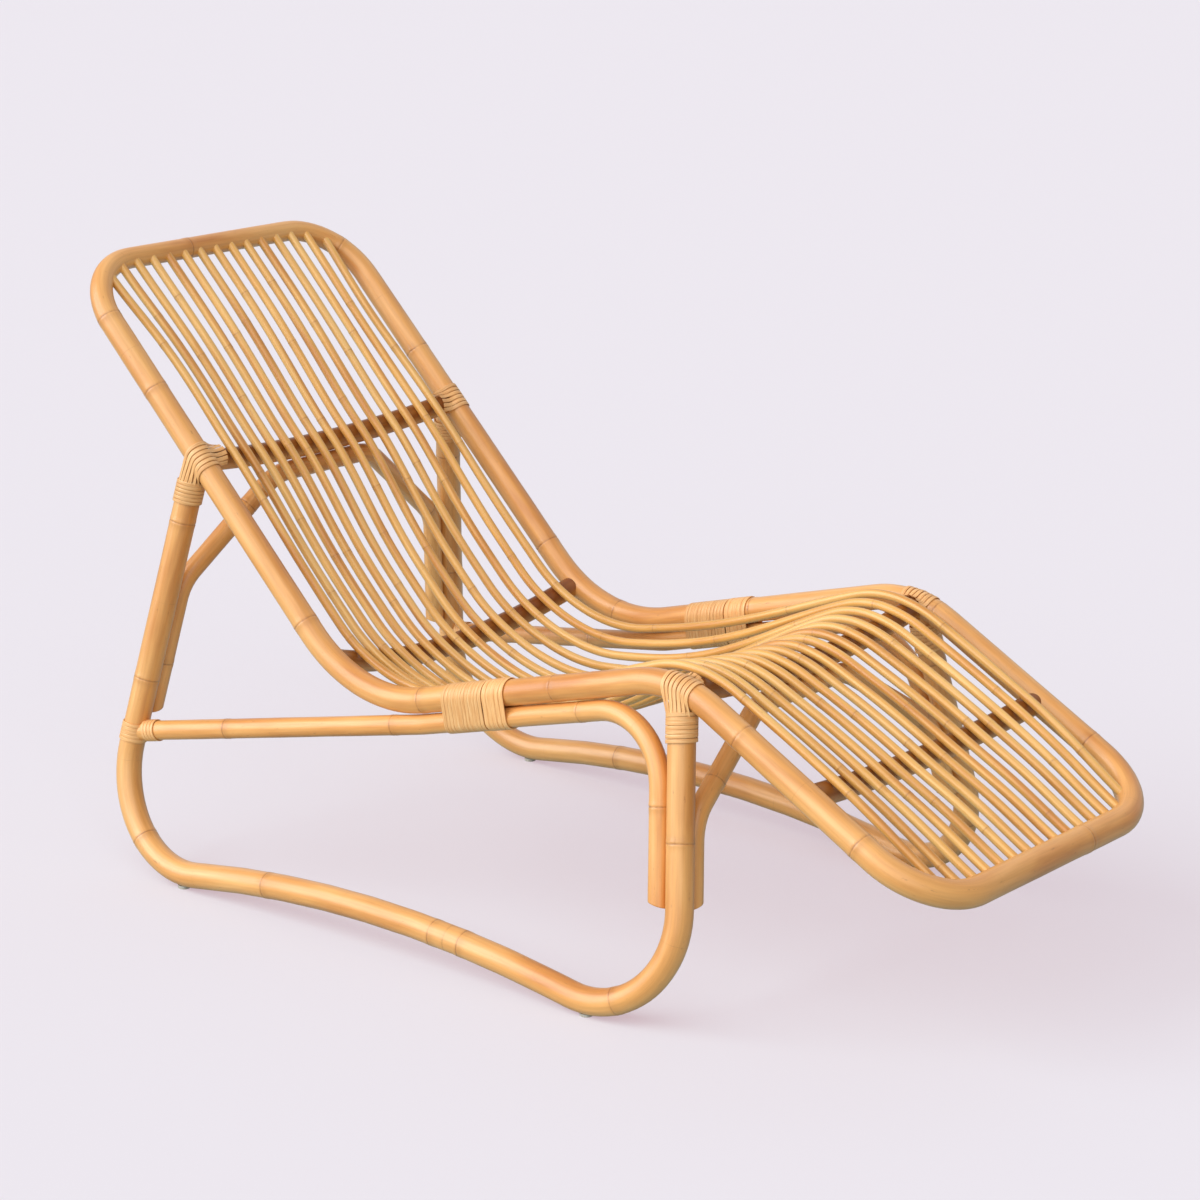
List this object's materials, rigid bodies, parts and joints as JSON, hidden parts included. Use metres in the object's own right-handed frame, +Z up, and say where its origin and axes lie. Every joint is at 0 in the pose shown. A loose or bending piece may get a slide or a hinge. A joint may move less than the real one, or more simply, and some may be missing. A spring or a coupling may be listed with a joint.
{
  "type": "rattan chaise longue",
  "caption": "Reclining rattan lounge chair: a bent pole loop with a deck of thin canes over bowed cross rails, on two bent side frames with arched runners, braces and wound cane joints.",
  "frame": {"origin": "centre of the bounding box's bottom, on the floor", "axes": "+X from the head end to the foot end, the way the sitter looks; +Y to the sitter's left; +Z up"},
  "size_m": [1.596, 0.8126, 0.8901],
  "materials": {
    "rattan_pole": "clear satin varnish on honey-tan rattan pole",
    "rattan_cane": "clear satin varnish on thin rattan cane",
    "rattan_peel": "satin strips of split cane peel",
    "glide_plastic": "matt"
  },
  "bodies": {
    "root": {"binding_brace_end_left": "rattan_peel", "binding_brace_end_right": "rattan_peel", "binding_front_leg_top_left": "rattan_peel", "binding_front_leg_top_right": "rattan_peel", "binding_knee_left": "rattan_peel", "binding_knee_right": "rattan_peel", "binding_rear_leg_left": "rattan_peel", "binding_rear_leg_right": "rattan_peel", "binding_rear_leg_top_left": "rattan_peel", "binding_rear_leg_top_right": "rattan_peel", "binding_seat_brace_left": "rattan_peel", "binding_seat_brace_right": "rattan_peel", "binding_upper_back_left": "rattan_peel", "binding_upper_back_right": "rattan_peel", "cross_rail_foot": "rattan_pole", "cross_rail_knee": "rattan_pole", "cross_rail_lower_back": "rattan_pole", "cross_rail_upper_back": "rattan_pole", "front_arch_brace": "rattan_pole", "glide_front_left": "glide_plastic", "glide_front_right": "glide_plastic", "glide_rear_left": "glide_plastic", "glide_rear_right": "glide_plastic", "leg_frame_left": "rattan_pole", "leg_frame_right": "rattan_pole", "rear_arch_brace": "rattan_pole", "seat_frame": "rattan_pole", "side_brace_left": "rattan_pole", "side_brace_right": "rattan_pole", "slat_01": "rattan_cane", "slat_02": "rattan_cane", "slat_03": "rattan_cane", "slat_04": "rattan_cane", "slat_05": "rattan_cane", "slat_06": "rattan_cane", "slat_07": "rattan_cane", "slat_08": "rattan_cane", "slat_09": "rattan_cane", "slat_10": "rattan_cane", "slat_11": "rattan_cane", "slat_12": "rattan_cane", "slat_13": "rattan_cane", "slat_14": "rattan_cane", "slat_15": "rattan_cane"}
  },
  "joints": []
}
